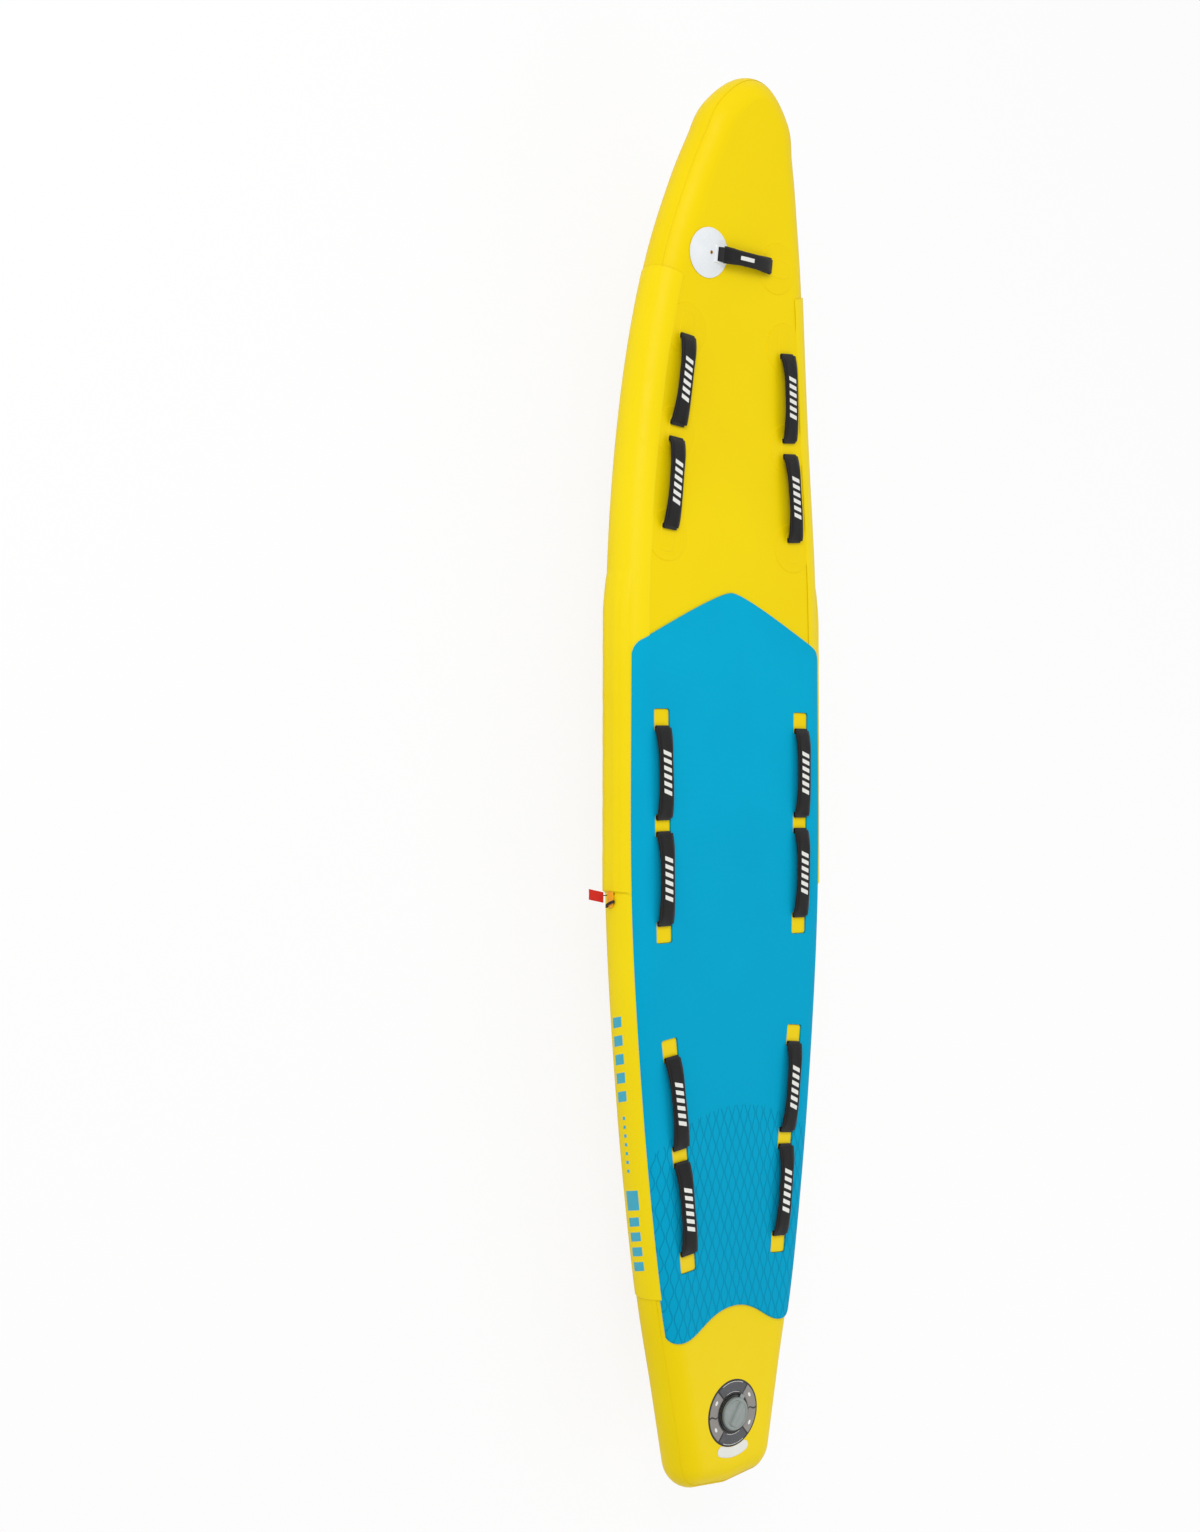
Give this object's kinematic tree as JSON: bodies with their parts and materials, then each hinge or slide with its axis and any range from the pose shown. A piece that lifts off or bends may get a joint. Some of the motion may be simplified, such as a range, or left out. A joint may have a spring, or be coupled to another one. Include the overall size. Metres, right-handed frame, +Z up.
{
  "type": "inflatable rescue board",
  "caption": "Long inflatable water rescue board with padded deck, strap handles, air valve, rail pockets with battens, and a removable centre fin.",
  "frame": {"origin": "centre of the board's length and width, at the level of the fin's tip", "axes": "+X along the board to its nose, +Y across it to port, +Z up out of its deck"},
  "size_m": [3.29, 0.7354, 0.3997],
  "materials": {
    "hull_yellow": "satin coated fabric",
    "tape_yellow": "satin coated fabric tape",
    "pad_blue": "matt closed-cell foam",
    "strap_black": "padded cloth",
    "webbing_black": "woven webbing",
    "moulding_white": "gloss",
    "print_white": "satin film",
    "moulding_grey": "satin",
    "print_grey": "satin film",
    "seal_black": "matt",
    "nylon_black": "satin",
    "moulding_yellow": "satin",
    "laminate_orange": "satin",
    "tag_red": "satin coated fabric",
    "fin_amber": "translucent gloss",
    "steel": "brushed",
    "brass": "satin"
  },
  "bodies": {
    "board": {"air_chamber": "hull_yellow", "rail_band": "tape_yellow", "deck_pad": "pad_blue", "rail_pocket_port": "tape_yellow", "rail_pocket_starboard": "tape_yellow", "front_anchor_patch_1_port": "hull_yellow", "front_anchor_patch_2_port": "hull_yellow", "front_anchor_patch_3_port": "hull_yellow", "handle_webbing_front_1_port": "webbing_black", "handle_webbing_front_2_port": "webbing_black", "handle_webbing_middle_1_port": "webbing_black", "handle_webbing_middle_2_port": "webbing_black", "handle_webbing_rear_1_port": "webbing_black", "handle_webbing_rear_2_port": "webbing_black", "front_anchor_patch_1_starboard": "hull_yellow", "front_anchor_patch_2_starboard": "hull_yellow", "front_anchor_patch_3_starboard": "hull_yellow", "handle_webbing_front_1_starboard": "webbing_black", "handle_webbing_front_2_starboard": "webbing_black", "handle_webbing_middle_1_starboard": "webbing_black", "handle_webbing_middle_2_starboard": "webbing_black", "handle_webbing_rear_1_starboard": "webbing_black", "handle_webbing_rear_2_starboard": "webbing_black", "nose_disc": "moulding_white", "nose_disc_insert": "brass", "nose_disc_bar": "steel", "nose_handle_webbing": "webbing_black", "nose_anchor_patch": "hull_yellow", "valve_gasket": "seal_black", "valve_body": "nylon_black", "valve_nut": "nylon_black", "valve_spring": "steel", "valve_surround": "print_grey", "blank_label": "print_white", "fin_box": "moulding_yellow"},
    "handle_front_1_port": {"handle_sleeve_front_1_port": "strap_black"},
    "handle_front_2_port": {"handle_sleeve_front_2_port": "strap_black"},
    "handle_middle_1_port": {"handle_sleeve_middle_1_port": "strap_black"},
    "handle_middle_2_port": {"handle_sleeve_middle_2_port": "strap_black"},
    "handle_rear_1_port": {"handle_sleeve_rear_1_port": "strap_black"},
    "handle_rear_2_port": {"handle_sleeve_rear_2_port": "strap_black"},
    "handle_front_1_starboard": {"handle_sleeve_front_1_starboard": "strap_black"},
    "handle_front_2_starboard": {"handle_sleeve_front_2_starboard": "strap_black"},
    "handle_middle_1_starboard": {"handle_sleeve_middle_1_starboard": "strap_black"},
    "handle_middle_2_starboard": {"handle_sleeve_middle_2_starboard": "strap_black"},
    "handle_rear_1_starboard": {"handle_sleeve_rear_1_starboard": "strap_black"},
    "handle_rear_2_starboard": {"handle_sleeve_rear_2_starboard": "strap_black"},
    "nose_handle": {"nose_handle_sleeve": "strap_black"},
    "valve_cap_lift": {"valve_cap_seal": "seal_black"},
    "valve_cap": {"valve_cap": "moulding_grey"},
    "valve_plunger": {"valve_plunger": "moulding_grey"},
    "fin": {"fin": "fin_amber", "fin_screw": "steel", "fin_plate": "brass"},
    "batten_port": {"batten_port": "laminate_orange", "batten_pull_loop_port": "webbing_black"},
    "rail_tag_port": {"rail_tag_port": "tag_red"},
    "batten_starboard": {"batten_starboard": "laminate_orange", "batten_pull_loop_starboard": "webbing_black"},
    "rail_tag_starboard": {"rail_tag_starboard": "tag_red"}
  },
  "joints": [
    {"name": "handle_front_1_port_lift", "type": "slide", "parent": "board", "child": "handle_front_1_port", "axis": [0, 0, 1], "range_m": [0, 0.015], "stiffness_N_per_m": 150, "deforming": ["handle_webbing_front_1_port"]},
    {"name": "handle_front_2_port_lift", "type": "slide", "parent": "board", "child": "handle_front_2_port", "axis": [0, 0, 1], "range_m": [0, 0.015], "stiffness_N_per_m": 150, "deforming": ["handle_webbing_front_2_port"]},
    {"name": "handle_middle_1_port_lift", "type": "slide", "parent": "board", "child": "handle_middle_1_port", "axis": [0, 0, 1], "range_m": [0, 0.015], "stiffness_N_per_m": 150, "deforming": ["handle_webbing_middle_1_port"]},
    {"name": "handle_middle_2_port_lift", "type": "slide", "parent": "board", "child": "handle_middle_2_port", "axis": [0, 0, 1], "range_m": [0, 0.015], "stiffness_N_per_m": 150, "deforming": ["handle_webbing_middle_2_port"]},
    {"name": "handle_rear_1_port_lift", "type": "slide", "parent": "board", "child": "handle_rear_1_port", "axis": [0, 0, 1], "range_m": [0, 0.015], "stiffness_N_per_m": 150, "deforming": ["handle_webbing_rear_1_port"]},
    {"name": "handle_rear_2_port_lift", "type": "slide", "parent": "board", "child": "handle_rear_2_port", "axis": [0, 0, 1], "range_m": [0, 0.015], "stiffness_N_per_m": 150, "deforming": ["handle_webbing_rear_2_port"]},
    {"name": "handle_front_1_starboard_lift", "type": "slide", "parent": "board", "child": "handle_front_1_starboard", "axis": [0, 0, 1], "range_m": [0, 0.015], "stiffness_N_per_m": 150, "deforming": ["handle_webbing_front_1_starboard"]},
    {"name": "handle_front_2_starboard_lift", "type": "slide", "parent": "board", "child": "handle_front_2_starboard", "axis": [0, 0, 1], "range_m": [0, 0.015], "stiffness_N_per_m": 150, "deforming": ["handle_webbing_front_2_starboard"]},
    {"name": "handle_middle_1_starboard_lift", "type": "slide", "parent": "board", "child": "handle_middle_1_starboard", "axis": [0, 0, 1], "range_m": [0, 0.015], "stiffness_N_per_m": 150, "deforming": ["handle_webbing_middle_1_starboard"]},
    {"name": "handle_middle_2_starboard_lift", "type": "slide", "parent": "board", "child": "handle_middle_2_starboard", "axis": [0, 0, 1], "range_m": [0, 0.015], "stiffness_N_per_m": 150, "deforming": ["handle_webbing_middle_2_starboard"]},
    {"name": "handle_rear_1_starboard_lift", "type": "slide", "parent": "board", "child": "handle_rear_1_starboard", "axis": [0, 0, 1], "range_m": [0, 0.015], "stiffness_N_per_m": 150, "deforming": ["handle_webbing_rear_1_starboard"]},
    {"name": "handle_rear_2_starboard_lift", "type": "slide", "parent": "board", "child": "handle_rear_2_starboard", "axis": [0, 0, 1], "range_m": [0, 0.015], "stiffness_N_per_m": 150, "deforming": ["handle_webbing_rear_2_starboard"]},
    {"name": "nose_handle_lift", "type": "slide", "parent": "board", "child": "nose_handle", "axis": [0, 0, 1], "range_m": [0, 0.012], "stiffness_N_per_m": 150, "deforming": ["nose_handle_webbing"]},
    {"name": "valve_cap_lift", "type": "slide", "parent": "board", "child": "valve_cap_lift", "axis": [0, 0, 1], "range_m": [0, 0.02]},
    {"name": "valve_cap_turn", "type": "hinge", "parent": "valve_cap_lift", "child": "valve_cap", "pos_m": [-1.472, 0, 0.29], "axis": [0, 0, 1], "range_deg": [0, 90]},
    {"name": "valve_plunger_push", "type": "slide", "parent": "board", "child": "valve_plunger", "axis": [0, 0, -1], "range_m": [0, 0.006], "stiffness_N_per_m": 400, "springref_m": -0.005, "deforming": ["valve_spring"]},
    {"name": "fin_slide", "type": "slide", "parent": "board", "child": "fin", "axis": [1, 0, 0], "range_m": [-0.005, 0.03]},
    {"name": "batten_port_slide", "type": "slide", "parent": "board", "child": "batten_port", "axis": [-1, 0, 0], "range_m": [0, 0.15]},
    {"name": "rail_tag_port_flap", "type": "hinge", "parent": "board", "child": "rail_tag_port", "pos_m": [-0.268, 0.3117, 0.2072], "axis": [1, 0, 0], "range_deg": [-40, 15], "stiffness_Nm_per_rad": 0.02},
    {"name": "batten_starboard_slide", "type": "slide", "parent": "board", "child": "batten_starboard", "axis": [-1, 0, 0], "range_m": [0, 0.15]},
    {"name": "rail_tag_starboard_flap", "type": "hinge", "parent": "board", "child": "rail_tag_starboard", "pos_m": [-0.268, -0.3117, 0.2072], "axis": [-1, 0, 0], "range_deg": [-40, 15], "stiffness_Nm_per_rad": 0.02}
  ]
}
